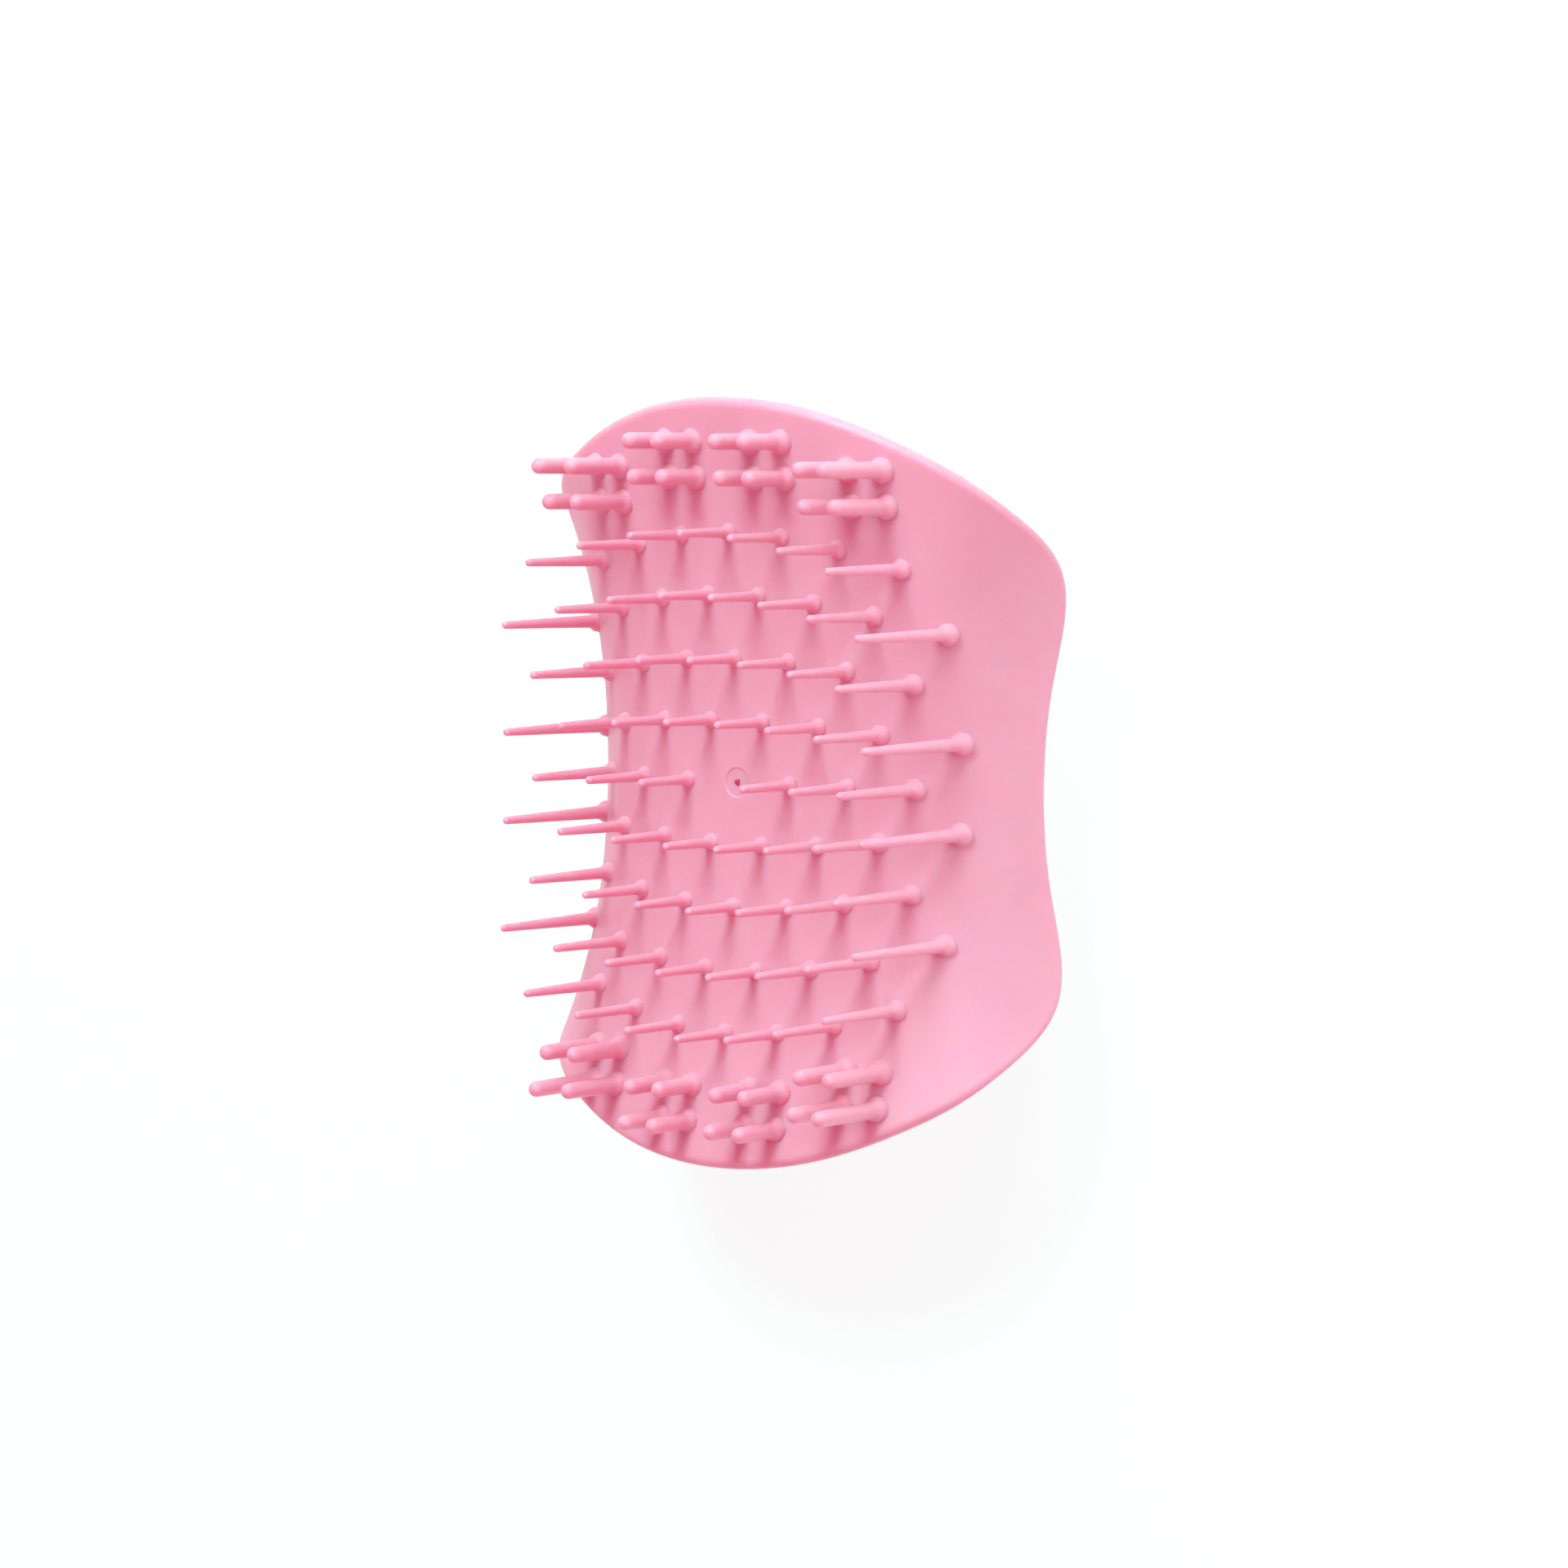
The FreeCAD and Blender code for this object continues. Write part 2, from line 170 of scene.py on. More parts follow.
# ---- geometry ------------------------------------------------------------------------------------
def fold(t):
    """Zero well inside the fold line, growing one for one well outside it."""
    return 0.5 * (t + np.sqrt(t * t + FOLD_SOFT * FOLD_SOFT))


def plate_z(x, y):
    """Height of the plate's top surface."""
    along = (y / SPAN_Y) ** 2
    line = FOLD_X + FOLD_X_END * along
    rise = MIDDLE_RISE + END_RISE * along + END_RISE_4 * along * along
    fall = (SIDE_FALL + SIDE_FALL_END * along) * (x / SPAN_X) ** 2
    drop = (FOLD_SLOPE + FOLD_SLOPE_END * along) * (fold(np.abs(x) - line) - fold(-line))
    return GATE_Z + rise - fall - drop


def plate_slope(x, y):
    """Slopes of the plate's top surface along X and along Y."""
    step = 0.01
    slope_x = (plate_z(x + step, y) - plate_z(x - step, y)) / (2 * step)
    slope_y = (plate_z(x, y + step) - plate_z(x, y - step)) / (2 * step)
    return slope_x, slope_y


def plate_normal(x, y):
    """Directions square to the plate's top surface."""
    slope_x, slope_y = plate_slope(x, y)
    return unit(np.stack([-slope_x, -slope_y, np.ones_like(slope_x)], axis=-1))


def plate_under_z(x, y, depth):
    """Height of the surface that lies depth below the plate's top, measured square to it."""
    slope_x, slope_y = plate_slope(x, y)
    return plate_z(x, y) - depth * np.sqrt(1 + slope_x * slope_x + slope_y * slope_y)


def unit(vectors):
    return vectors / np.linalg.norm(vectors, axis=-1, keepdims=True)


def smooth_step(t):
    """0 up to 0, 1 from 1 on, and a soft step between."""
    t = np.clip(t, 0.0, 1.0)
    return t * t * (3 - 2 * t)


def turn_between(first, last, share):
    """Directions turned evenly from first to last."""
    angle = np.arccos(np.clip((first * last).sum(-1, keepdims=True), -1, 1))
    angle = np.maximum(angle, 1e-6)
    return (np.sin((1 - share) * angle) * first + np.sin(share * angle) * last) / np.sin(angle)


def closed_spline(points, count):
    """Points at even steps along a smooth closed curve through the given ones."""
    points = np.array(points, float)
    total = len(points)
    steps = np.linalg.norm(np.roll(points, -1, axis=0) - points, axis=1)
    matrix = np.zeros((total, total))
    right = np.zeros((total, 2))
    for i in range(total):
        ahead = (i + 1) % total
        matrix[i, i - 1] = steps[i - 1] / 6
        matrix[i, i] = (steps[i - 1] + steps[i]) / 3
        matrix[i, ahead] = steps[i] / 6
        right[i] = (points[ahead] - points[i]) / steps[i] - (points[i] - points[i - 1]) / steps[i - 1]
    bend = np.linalg.solve(matrix, right)
    knots = np.concatenate([[0.0], np.cumsum(steps)])
    at = np.linspace(0.0, knots[-1], count, endpoint=False)
    left = np.clip(np.searchsorted(knots, at, side="right") - 1, 0, total - 1)
    ahead = (left + 1) % total
    length = steps[left][:, None]
    done = at[:, None] - knots[left][:, None]
    rest = length - done
    curve = (bend[left] * rest ** 3 + bend[ahead] * done ** 3) / (6 * length)
    curve += (points[left] / length - bend[left] * length / 6) * rest
    curve += (points[ahead] / length - bend[ahead] * length / 6) * done
    return curve


def outline_points():
    """The brush's outline: four mirrored quarters."""
    half = OUTLINE + [(-x, y) for x, y in reversed(OUTLINE[:-1])]
    whole = half + [(x, -y) for x, y in reversed(half[1:-1])]
    return closed_spline(whole, STATIONS)


RIM = outline_points()
RIM_HEIGHT = plate_z(RIM[:, 0], RIM[:, 1])


def dome_points(ratio):
    """The dome's outer surface at each station. The ratio is 1 at the rim and falls to FLAT_RATIO
    at the resting flat. It is one number, or one for each station."""
    ratio = np.broadcast_to(ratio, (STATIONS,))
    part = np.maximum(0.0, (ratio - FLAT_RATIO) / (1 - FLAT_RATIO))
    power = SIDE_POWER + (END_POWER - SIDE_POWER) * (RIM_HEIGHT - SIDE_RIM_Z) / (END_RIM_Z - SIDE_RIM_Z)
    half = np.array([OUTLINE[0][0], OUTLINE[-1][1]])
    angle = np.arctan2(RIM[:, 1] / half[1], RIM[:, 0] / half[0])
    oval = half * np.stack([np.cos(angle), np.sin(angle)], axis=1)
    blend = ((1 - part) ** 2)[:, None]
    flat = (RIM + blend * (oval - RIM)) * ratio[:, None]
    return np.column_stack([flat, RIM_HEIGHT * part ** power])


def dome_normals(ratio):
    """Outward directions of the dome's surface."""
    step = 0.004
    ratio = np.broadcast_to(ratio, (STATIONS,))
    here = dome_points(ratio)
    along = np.roll(here, -1, axis=0) - np.roll(here, 1, axis=0)
    outer = dome_points(ratio + step)
    inner = dome_points(np.maximum(FLAT_RATIO, ratio - step))
    return unit(np.cross(along, outer - inner))


def dome_inside(ratio):
    """The inner face of the grip's wall at each station."""
    return dome_points(ratio) - SHELL_T * dome_normals(ratio)


def ratio_at_depth(surface, depth):
    """The ratio at each station where a dome surface passes depth below the plate's top."""
    low = np.full(STATIONS, LOWEST_RATIO)
    high = np.full(STATIONS, 1.0)
    for _ in range(RATIO_HALVINGS):
        middle = (low + high) / 2
        points = surface(middle)
        above = points[:, 2] > plate_under_z(points[:, 0], points[:, 1], depth)
        high = np.where(above, middle, high)
        low = np.where(above, low, middle)
    return (low + high) / 2


def ratio_at_distance(start, ratio, distance):
    """The ratio at each station where the dome is a given distance below a start point."""
    low = np.full(STATIONS, LOWEST_RATIO)
    high = np.broadcast_to(ratio, (STATIONS,)).copy()
    for _ in range(RATIO_HALVINGS):
        middle = (low + high) / 2
        near = np.linalg.norm(dome_points(middle) - start, axis=1) < distance
        high = np.where(near, middle, high)
        low = np.where(near, low, middle)
    return (low + high) / 2


# ---- making meshes -------------------------------------------------------------------------------
def tube(rings, first, last):
    """Vertices and faces of a closed skin round a list of rings, with a point at either end."""
    count = rings.shape[1]
    points = np.concatenate([[first], rings.reshape(-1, 3), [last]])
    around = np.arange(count)
    ahead = (around + 1) % count
    faces = []
    for i, j in zip(around, ahead):
        faces.append((0, 1 + j, 1 + i))
    for row in range(len(rings) - 1):
        base = 1 + row * count
        for i, j in zip(around, ahead):
            faces.append((base + i, base + j, base + count + j, base + count + i))
    base = 1 + (len(rings) - 1) * count
    end = len(points) - 1
    for i, j in zip(around, ahead):
        faces.append((base + i, base + j, end))
    return points, [tuple(int(v) for v in face) for face in faces]


def skirt(rings, end, start, shared):
    """Vertices and faces that carry a skin from its first ring, whose vertices are already there
    from the number shared on, through the other rings to an end point. New ones start at start."""
    count = rings.shape[1]
    points = np.concatenate([rings[1:].reshape(-1, 3), [end]])
    firsts = [shared] + [start + row * count for row in range(len(rings) - 1)]
    last = start + len(points) - 1
    faces = []
    for i in range(count):
        j = (i + 1) % count
        for here, there in zip(firsts, firsts[1:]):
            faces.append((here + i, here + j, there + j, there + i))
        faces.append((firsts[-1] + i, firsts[-1] + j, last))
    return points, faces


def mesh_object(name, points, faces, material):
    """A smooth-shaded piece of the brush, made from points in millimetres."""
    mesh = bpy.data.meshes.new(name)
    mesh.from_pydata((np.asarray(points) * MM).tolist(), [], faces)
    mesh.shade_smooth()
    mesh.materials.append(material)
    piece = bpy.data.objects.new(name, mesh)
    bpy.context.scene.collection.objects.link(piece)
    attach(piece, "root")
    return piece


def seam_edge(corner, up, inward):
    """Rows that round the seam's corner, from the outside to the parting face."""
    first = corner + up * SEAM_BEVEL
    last = corner + inward * SEAM_BEVEL
    rows = []
    for share in np.linspace(0, 1, SEAM_STEPS + 1):
        rows.append((1 - share) ** 2 * first + 2 * share * (1 - share) * corner + share ** 2 * last)
    return rows


def gate_dimple(radius):
    """Depth of the shallow dimple round the gate mark."""
    return GATE_DISC_DEPTH * (1 - smooth_step((radius - GATE_DISC_R) / GATE_WALL + 0.5))


def top_places(edge):
    """Points spread over the plate's top in rings, from the middle out to just inside its edge.
    Near the middle the rings are circles, and they turn into the outline's shape further out."""
    half_x = OUTLINE[0][0]
    half_y = OUTLINE[-1][1]
    angle = np.arctan2(edge[:, 1] / half_y, edge[:, 0] / half_x)
    circle = np.stack([np.cos(angle), np.sin(angle)], axis=1)
    near = np.concatenate([
        np.linspace(FIRST_TOP_R, GATE_DISC_R - GATE_WALL, 6),
        np.linspace(GATE_DISC_R - 0.75 * GATE_WALL, GATE_DISC_R + 0.75 * GATE_WALL, 12),
        np.linspace(GATE_DISC_R + GATE_WALL, DIMPLE_END_R, 4),
    ])
    far = np.linspace(COARSE_TOP_R / half_x, 1.0, TOP_RINGS)[:-1]
    places = []
    for share in np.concatenate([near / half_x, far]):
        oval = smooth_step((share - OVAL_FROM) / OVAL_OVER)
        places.append(share * (half_x * circle * (1 - oval) + edge[:, :2] * oval))
    return np.concatenate(places + [np.zeros((1, 2))])


def outer_rings():
    """Rings round the outside of the plate: the top's edge, the rolled rim, the side wall, the soft
    seam edge and the underside, in to near the middle."""
    ridge = dome_points(1.0)
    up = plate_normal(ridge[:, 0], ridge[:, 1])
    out = dome_normals(1.0)
    ball = ridge - RIM_R * (up + out) / (1 + (up * out).sum(1, keepdims=True))
    top_edge = ball + RIM_R * up
    side_edge = ball + RIM_R * out
    top_error = np.zeros_like(ball)
    top_error[:, 2] = plate_z(top_edge[:, 0], top_edge[:, 1]) - top_edge[:, 2]
    side_ratio = ratio_at_distance(ridge, 1.0, np.linalg.norm(side_edge - ridge, axis=1))
    side_error = dome_points(side_ratio) - side_edge

    rings = []
    for share in np.linspace(0, 1, RIM_STEPS + 1):
        around = ball + RIM_R * turn_between(up, out, share)
        rings.append(around + (1 - share) * top_error + share * side_error)

    seam_ratio = ratio_at_depth(dome_points, PLATE_T)
    seam = dome_points(seam_ratio)
    along = unit(np.roll(seam, -1, axis=0) - np.roll(seam, 1, axis=0))
    rise = unit(dome_points(side_ratio) - seam)
    inward = unit(np.cross(plate_normal(seam[:, 0], seam[:, 1]), along))
    edge = seam_edge(seam, rise, inward)
    for share in WALL_SHARES:
        ratio = side_ratio + (seam_ratio - side_ratio) * share
        rings.append(dome_points(ratio))
    rings += edge
    for share in np.linspace(1, UNDER_SHARE, UNDER_RINGS)[1:]:
        flat = edge[-1][:, :2] * share
        rings.append(np.column_stack([flat, plate_under_z(flat[:, 0], flat[:, 1], PLATE_T)]))
    return np.array(rings)


def foot_size(foot, middle, places):
    """How far out each place is from a tooth's middle, against the size of the tooth's foot there."""
    spokes = foot[:, :2] - middle
    turns = np.arctan2(spokes[:, 1], spokes[:, 0])
    lengths = np.hypot(spokes[:, 0], spokes[:, 1])
    away = places - middle
    size = np.interp(np.arctan2(away[:, 1], away[:, 0]), turns, lengths, period=2 * math.pi)
    return np.hypot(away[:, 0], away[:, 1]) / size


def open_places(edge, feet, middles):
    """Points over the plate's top between the teeth, with collars of them close round each foot."""
    places = top_places(edge)
    collars = []
    for own, (foot, middle) in enumerate(zip(feet, middles)):
        for size in COLLARS:
            collar = middle + (foot[:, :2] - middle) * size
            reach = COLLAR_REACH * size * np.ptp(foot[:, 0])
            for other, (other_foot, other_middle) in enumerate(zip(feet, middles)):
                if other != own and np.hypot(*(other_middle - middle)) < reach:
                    collar = collar[foot_size(other_foot, other_middle, collar) > size]
            collars.append(collar)
        places = places[foot_size(foot, middle, places) > COLLARS[-1] * COLLAR_CLEAR]
    return np.concatenate([places] + collars)


def top_skin(edge, feet, middles):
    """The plate's top as triangles that meet its edge ring and every tooth's foot ring."""
    rings = [edge] + feet
    places = np.concatenate([ring[:, :2] for ring in rings] + [open_places(edge, feet, middles)])
    borders = []
    owner = np.full(len(places), -1)    # 0 on the plate's edge, then a number for each tooth's foot
    start = 0
    for number, ring in enumerate(rings):
        count = len(ring)
        borders += [(start + i, start + (i + 1) % count) for i in range(count)]
        owner[start:start + count] = number
        start += count
    flat = [Vector(place) for place in places]
    skin = delaunay_2d_cdt(flat, borders, [], INSIDE_OUTLINE, MERGE_DISTANCE)
    place_of = [first[0] for first in skin[3]]
    faces = []
    for face in skin[2]:
        corners = [place_of[v] for v in face]
        owners = {int(owner[corner]) for corner in corners}
        inside_foot = len(owners) == 1 and owners.pop() > 0
        if not inside_foot:
            faces.append(tuple(corners))
    height = plate_z(places[:, 0], places[:, 1]) - gate_dimple(np.hypot(places[:, 0], places[:, 1]))
    points = np.column_stack([places, height])
    points[:start] = np.concatenate(rings)
    return points, faces


def tooth_plate(material):
    """The plate and all its teeth as one moulding: one closed skin, whose top runs up into every
    tooth's knob. It stands in for the plate's node and for every node of teeth."""
    rings = outer_rings()
    toothed = []
    nodes = ["tooth_plate"]
    for node in sorted(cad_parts):
        kind = node.split("_")[0]
        if kind in TIP_R:
            nodes.append(node)
            toothed += [tooth_rings(solid, kind) for solid in loose_solids(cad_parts[node].data)]
    feet = [tooth[0][0] for tooth in toothed]
    middles = [np.array(tooth[1][:2]) for tooth in toothed]
    points, faces = top_skin(rings[0], feet, middles)

    points = [points]
    total = len(points[0])
    below = (0, 0, plate_under_z(0.0, 0.0, PLATE_T))
    more_points, more_faces = skirt(rings, below, total, 0)
    points.append(more_points)
    total += len(more_points)
    faces += [face[::-1] for face in more_faces]
    foot_start = len(rings[0])
    for tooth, tip in toothed:
        more_points, more_faces = skirt(tooth, tip, total, foot_start)
        points.append(more_points)
        total += len(more_points)
        faces += more_faces
        foot_start += len(tooth[0])
    piece = mesh_object("plate_moulding", np.concatenate(points), faces, material)
    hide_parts(*nodes)


def back_shell(material):
    """The hollow grip: its outer dome, soft seam edge, parting face and inside."""
    seam_ratio = ratio_at_depth(dome_points, PLATE_T)
    seam = dome_points(seam_ratio)
    along = unit(np.roll(seam, -1, axis=0) - np.roll(seam, 1, axis=0))
    below = unit(dome_points(seam_ratio - 0.01) - seam)
    inward = unit(np.cross(plate_normal(seam[:, 0], seam[:, 1]), along))
    edge = seam_edge(seam, below, inward)
    inner_ratio = ratio_at_depth(dome_inside, PLATE_T)

    start = ratio_at_distance(seam, seam_ratio, SEAM_BEVEL * 2)
    outside = []
    for share in np.linspace(0, 1, DOME_RINGS):
        outside.append(dome_points(start + (FLAT_RATIO - start) * share))
    inside = []
    for share in np.linspace(0, 1, DOME_RINGS // 2):
        ratio = inner_ratio + (INNER_FLAT_RATIO - inner_ratio) * share
        inside.append(dome_inside(ratio))
    rings = np.array(outside[::-1] + edge + inside)
    bottom = float(inside[-1][:, 2].mean())
    points, faces = tube(rings, (0, 0, 0), (0, 0, bottom))
    piece = mesh_object("grip_moulding", points, faces, material)
    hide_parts("back_shell")


def gate_vestige(material):
    """The torn stub of plastic at the middle of the gate mark."""
    angle = np.linspace(0, 2 * math.pi, VESTIGE_SIDES, endpoint=False)
    base = plate_z(0.0, 0.0) - GATE_DISC_DEPTH
    rings = []
    for radius, height in VESTIGE_RINGS:
        ragged = 1 + 0.16 * np.sin(3 * angle + 5 * radius) + 0.1 * np.sin(7 * angle - 4 * radius)
        torn = height * VESTIGE_H * (1 + 0.35 * np.sin(2 * angle + 1.0) * (height > 0))
        rings.append(np.column_stack([
            VESTIGE_R * radius * ragged * np.cos(angle),
            VESTIGE_R * radius * ragged * np.sin(angle),
            base + torn,
        ]))
    root = (0, 0, base - VESTIGE_ROOT)
    end = (0, 0, base + VESTIGE_HOLLOW * VESTIGE_H)
    points, faces = tube(np.array(rings), root, end)
    mesh_object("gate_vestige", points, faces, material)


# ---- teeth ---------------------------------------------------------------------------------------
def loose_solids(mesh):
    """The points of each separate solid in a CAD node's mesh, in millimetres."""
    skin = bmesh.new()
    skin.from_mesh(mesh)
    bmesh.ops.remove_doubles(skin, verts=skin.verts, dist=1e-7)
    skin.verts.index_update()
    seen = set()
    solids = []
    for seed in skin.verts:
        if seed.index in seen:
            continue
        seen.add(seed.index)
        walk = [seed]
        for vert in walk:
            for edge in vert.link_edges:
                other = edge.other_vert(vert)
                if other.index not in seen:
                    seen.add(other.index)
                    walk.append(other)
        solids.append(np.array([vert.co for vert in walk]) / MM)
    skin.free()
    return solids


def tooth_rings(solid, kind):
    """Rings up one tooth: the round knob at its root, the neck, the drafted shaft and the ball
    tip. The knob's middle is on the plate's surface, and its foot follows that surface. The tooth's
    place, height and root size are read from its CAD solid."""
    low = solid.min(0)
    high = solid.max(0)
    x, y = (low[:2] + high[:2]) / 2
    base_r = np.hypot(solid[:, 0] - x, solid[:, 1] - y).max()
    tip_r = TIP_R[kind]
    ball_z = high[2] - tip_r
    draft = (base_r - tip_r) / (ball_z - low[2])
    root_z = plate_z(x, y)
    root_r = tip_r + draft * (ball_z - root_z)
    knob_r = KNOB_SIZE[kind] * root_r
    neck_top = 0.0
    for _ in range(6):
        neck_in = root_r - draft * neck_top + NECK_R
        neck_top = math.sqrt((knob_r + NECK_R) ** 2 - neck_in ** 2)
    neck_foot = neck_top * knob_r / (knob_r + NECK_R)

    def width(height):
        level = np.clip(height / np.where(height < 0, KNOB_DROP, 1.0), -knob_r, neck_foot)
        ball = np.sqrt(knob_r ** 2 - level ** 2)
        hollow = np.sqrt(NECK_R ** 2 - (neck_top - np.clip(height, neck_foot, neck_top)) ** 2)
        return np.where(height < neck_foot, ball, neck_in - hollow)

    angle = np.linspace(0, 2 * math.pi, TOOTH_SIDES, endpoint=False)
    away = np.column_stack([np.cos(angle), np.sin(angle)])

    def ring(height, radius):
        flat = [x, y] + away * np.broadcast_to(radius, (TOOTH_SIDES,))[:, None]
        return np.column_stack([flat, root_z + np.broadcast_to(height, (TOOTH_SIDES,))])

    under = np.full(TOOTH_SIDES, -knob_r * KNOB_DROP)
    over = np.full(TOOTH_SIDES, neck_top)
    for _ in range(FOOT_HALVINGS):
        height = (under + over) / 2
        place = ring(height, width(height))
        buried = plate_z(place[:, 0], place[:, 1]) > place[:, 2]
        under = np.where(buried, height, under)
        over = np.where(buried, over, height)
    foot = (under + over) / 2

    rings = []
    for share in np.linspace(0, 1, KNOB_STEPS + 1):
        height = foot + (neck_top - foot) * share
        rings.append(ring(height, width(height)))
    shaft_h = ball_z - root_z - neck_top
    for share in np.linspace(0, 1, SHAFT_STEPS + 1)[1:]:
        rings.append(ring(neck_top + shaft_h * share, tip_r + draft * shaft_h * (1 - share)))
    for lift in np.linspace(0, math.pi / 2, TIP_STEPS + 1)[1:-1]:
        rings.append(ring(ball_z - root_z + tip_r * math.sin(lift), tip_r * math.cos(lift)))
    return np.array(rings), (x, y, high[2])


# ---- materials -----------------------------------------------------------------------------------
def noise(nodes, links, where, scale, detail):
    """The value of a noise texture."""
    texture = nodes.new("ShaderNodeTexNoise")
    texture.inputs["Scale"].default_value = scale
    texture.inputs["Detail"].default_value = detail
    links.new(where, texture.inputs["Vector"])
    return texture.outputs["Fac"]


def spread(nodes, links, value, low, high):
    """A noise value spread to run from low to high."""
    ranged = nodes.new("ShaderNodeMapRange")
    ranged.inputs["From Min"].default_value = 0.3
    ranged.inputs["From Max"].default_value = 0.7
    ranged.inputs["To Min"].default_value = low
    ranged.inputs["To Max"].default_value = high
    links.new(value, ranged.inputs["Value"])
    return ranged.outputs["Result"]


def pink_plastic(name, pinks, roughness, depth):
    """Satin pink plastic that light sinks into: softly clouded colour, an uneven sheen, and the
    fine spark-eroded grain of the mould."""
    pale, deep = pinks
    material = bpy.data.materials.new(name)
    material.use_nodes = True
    nodes = material.node_tree.nodes
    links = material.node_tree.links
    shader = nodes["Principled BSDF"]
    where = nodes.new("ShaderNodeTexCoord").outputs["Object"]

    clouds = noise(nodes, links, where, CLOUD_SCALE, 3)
    tint = nodes.new("ShaderNodeMix")
    tint.data_type = "RGBA"
    tint.inputs["A"].default_value = (*pale, 1)
    tint.inputs["B"].default_value = (*deep, 1)
    links.new(spread(nodes, links, clouds, 0, 1), tint.inputs["Factor"])
    links.new(tint.outputs["Result"], shader.inputs["Base Color"])

    sheen = noise(nodes, links, where, SHEEN_SCALE, 4)
    links.new(spread(nodes, links, sheen, roughness - 0.04, roughness + 0.05), shader.inputs["Roughness"])

    grain = noise(nodes, links, where, GRAIN_SCALE, 2)
    bump = nodes.new("ShaderNodeBump")
    bump.inputs["Strength"].default_value = 0.35
    bump.inputs["Distance"].default_value = GRAIN_DEPTH
    links.new(grain, bump.inputs["Height"])
    links.new(bump.outputs["Normal"], shader.inputs["Normal"])

    shader.inputs["Subsurface Weight"].default_value = 1.0
    shader.inputs["Subsurface Radius"].default_value = SCATTER
    shader.inputs["Subsurface Scale"].default_value = depth
    shader.inputs["Specular IOR Level"].default_value = 0.8
    shader.inputs["Specular Tint"].default_value = (*SHINE_TINT, 1)
    shader.inputs["IOR"].default_value = 1.46
    return material


def pale_floor_material():
    """Matt paper with a faint tooth and a glow that makes it white."""
    material = bpy.data.materials.new("pale_floor")
    material.use_nodes = True
    nodes = material.node_tree.nodes
    links = material.node_tree.links
    shader = nodes["Principled BSDF"]
    shader.inputs["Base Color"].default_value = (*FLOOR_COLOUR, 1)
    shader.inputs["Specular IOR Level"].default_value = 0.1
    shader.inputs["Emission Color"].default_value = (*FLOOR_GLOW, 1)
    shader.inputs["Emission Strength"].default_value = 0.86
    where = nodes.new("ShaderNodeTexCoord").outputs["Object"]
    paper = noise(nodes, links, where, PAPER_SCALE, 3)
    links.new(spread(nodes, links, paper, 0.85, 0.95), shader.inputs["Roughness"])
    return material


# ---- studio --------------------------------------------------------------------------------------
def floor():
    """A wide pale floor just under the brush."""
    mesh = bpy.data.meshes.new("floor")
    corners = [(FLOOR_HALF * x, FLOOR_HALF * y, 0) for x, y in ((-1, -1), (1, -1), (1, 1), (-1, 1))]
    mesh.from_pydata(corners, [], [(0, 1, 2, 3)])
    mesh.materials.append(pale_floor_material())
    piece = bpy.data.objects.new("floor", mesh)
    bpy.context.scene.collection.objects.link(piece)
    piece.location.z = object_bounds()[0][2] - FLOOR_DROP
    piece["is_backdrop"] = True


def softbox(name, direction, size, power, colour):
    """A round area light that faces the middle of the brush."""
    middle = (Vector(cad_box[0]) + Vector(cad_box[1])) / 2
    direction = Vector(direction).normalized()
    light = bpy.data.lights.new(name, "AREA")
    light.shape = "DISK"
    light.size = size
    light.energy = power
    light.color = colour
    lamp = bpy.data.objects.new(name, light)
    lamp.location = middle + direction * LAMP_DISTANCE
    lamp.rotation_euler = direction.to_track_quat("Z", "Y").to_euler()
    bpy.context.scene.collection.objects.link(lamp)


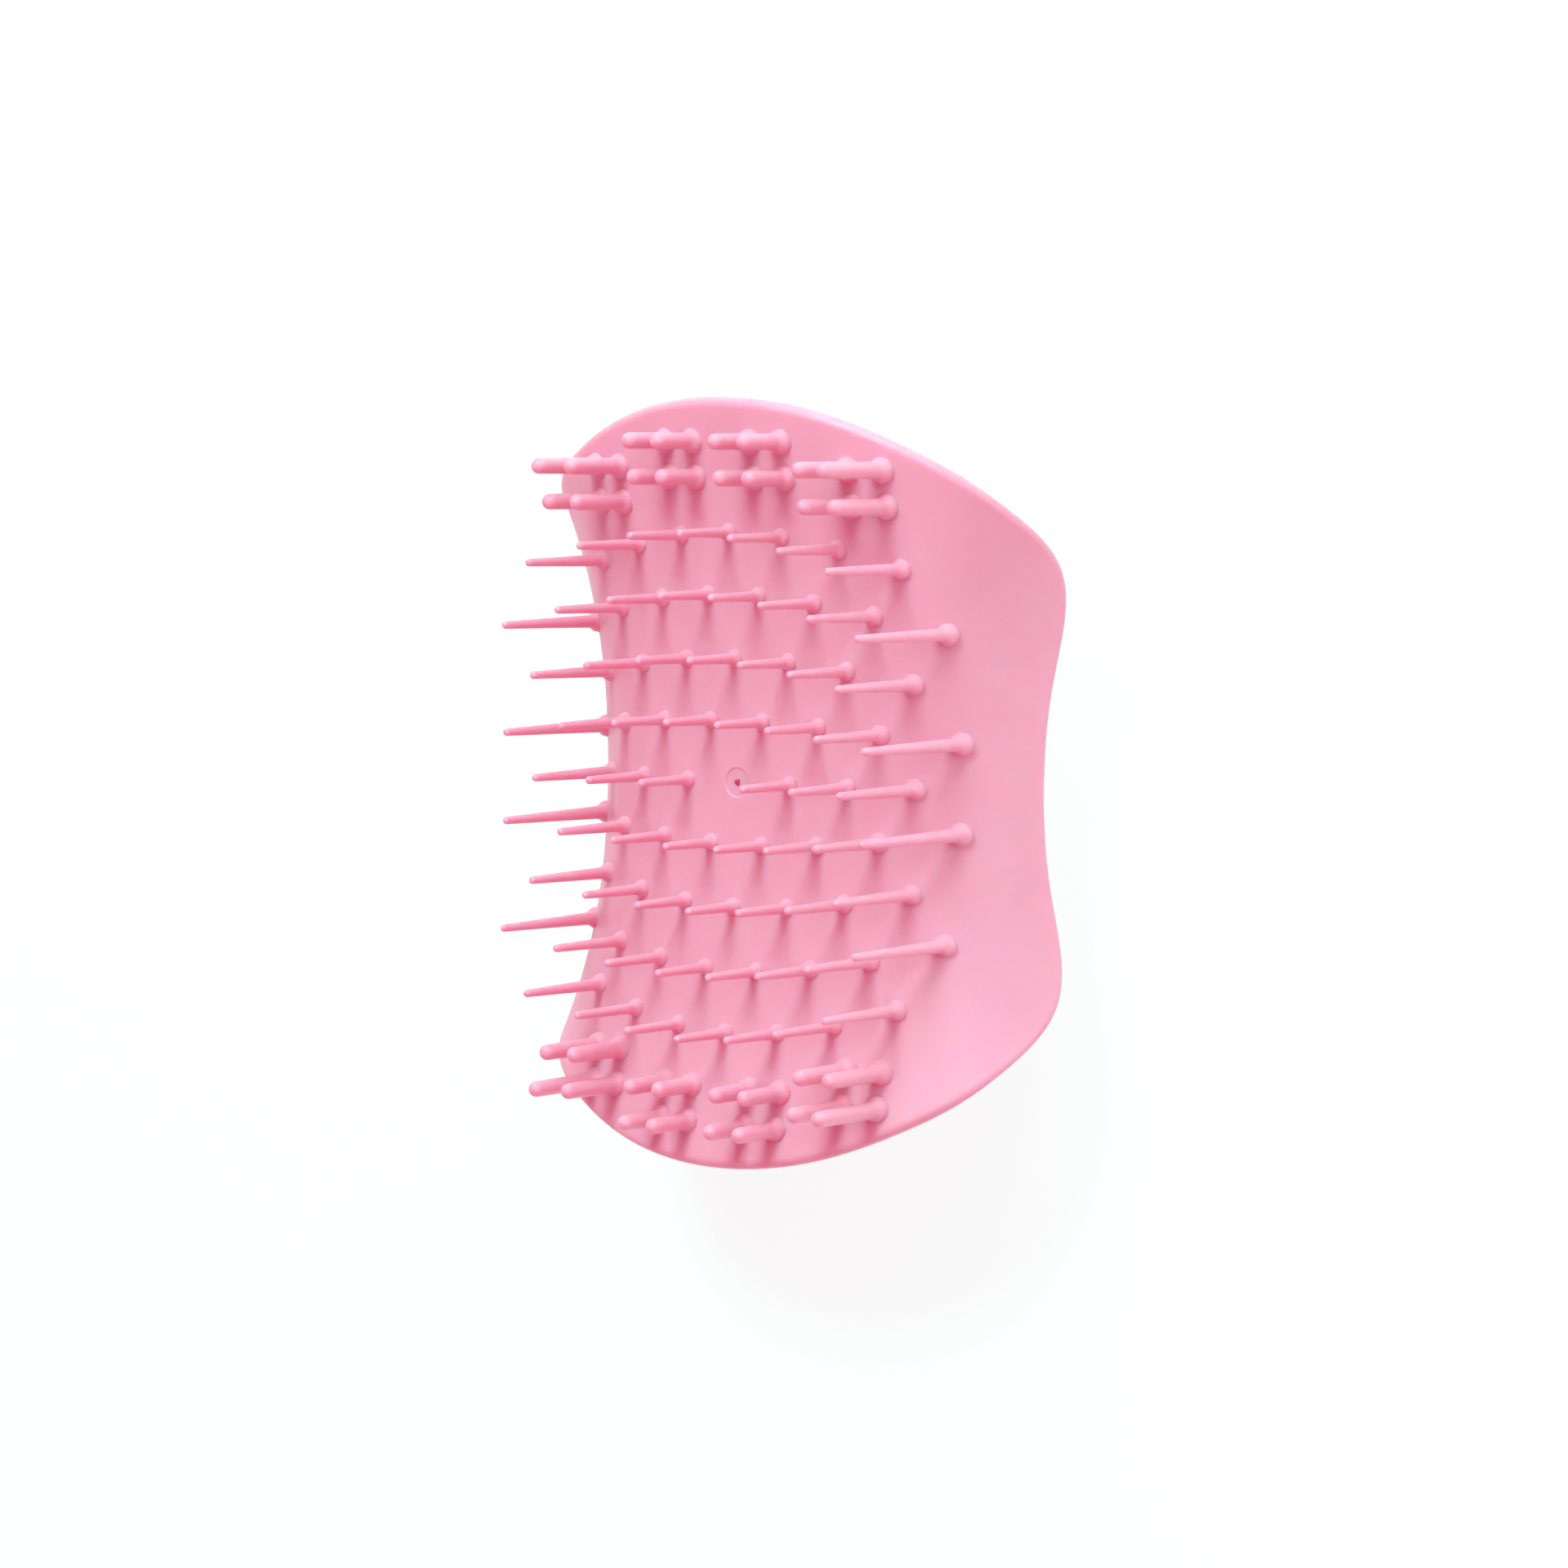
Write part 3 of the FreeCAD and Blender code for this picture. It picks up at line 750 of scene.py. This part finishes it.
def world_light():
    """A studio whose walls are pale down at the horizon and take up the overhead colour above."""
    world = bpy.data.worlds.new("studio")
    world.use_nodes = True
    nodes = world.node_tree.nodes
    links = world.node_tree.links
    where = nodes.new("ShaderNodeTexCoord").outputs["Generated"]
    split = nodes.new("ShaderNodeSeparateXYZ")
    links.new(where, split.inputs["Vector"])
    height = nodes.new("ShaderNodeMapRange")
    height.interpolation_type = "SMOOTHSTEP"
    height.inputs["From Min"].default_value = HORIZON_TOP
    height.inputs["From Max"].default_value = OVERHEAD_FOOT
    links.new(split.outputs["Z"], height.inputs["Value"])
    tint = nodes.new("ShaderNodeMix")
    tint.data_type = "RGBA"
    tint.inputs["A"].default_value = (*HORIZON, 1)
    tint.inputs["B"].default_value = (*OVERHEAD, 1)
    links.new(height.outputs["Result"], tint.inputs["Factor"])
    links.new(tint.outputs["Result"], nodes["Background"].inputs["Color"])
    nodes["Background"].inputs["Strength"].default_value = 1.0
    bpy.context.scene.world = world


def camera():
    """A long lens that looks down on the teeth from the brush's right."""
    turn = Matrix.Rotation(CAMERA_YAW, 3, "Y") @ Matrix.Rotation(-CAMERA_TILT, 3, "X")
    turn = turn @ Matrix.Rotation(-CAMERA_ROLL, 3, "Z")
    gate = Vector((0, 0, GATE_Z))
    lens = bpy.data.cameras.new("camera")
    lens.lens = CAMERA_LENS
    lens.sensor_width = 36
    lens.clip_start = 0.01
    lens.clip_end = 10
    piece = bpy.data.objects.new("camera", lens)
    piece.matrix_world = Matrix.Translation((gate + turn @ Vector(CAMERA_PLACE)) * MM) @ turn.to_4x4()
    bpy.context.scene.collection.objects.link(piece)
    bpy.context.scene.camera = piece


tooth_plate(pink_plastic("plate_plastic", PLATE_PINKS, 0.41, 0.0016))
back_shell(pink_plastic("grip_plastic", GRIP_PINKS, 0.38, 0.0016))
gate_vestige(pink_plastic("torn_plastic", TORN_PINKS, 0.5, 0.0004))
floor()
world_light()
softbox("key_light", (0.10, 0.60, 0.79), 0.38, 5.7, KEY_TINT)
softbox("side_light", (0.66, 0.48, 0.58), 0.50, 1.8, SIDE_TINT)
softbox("end_light", (0.10, 0.92, 0.38), 0.60, 3.2, END_TINT)
camera()
bpy.context.scene.view_settings.view_transform = "Standard"
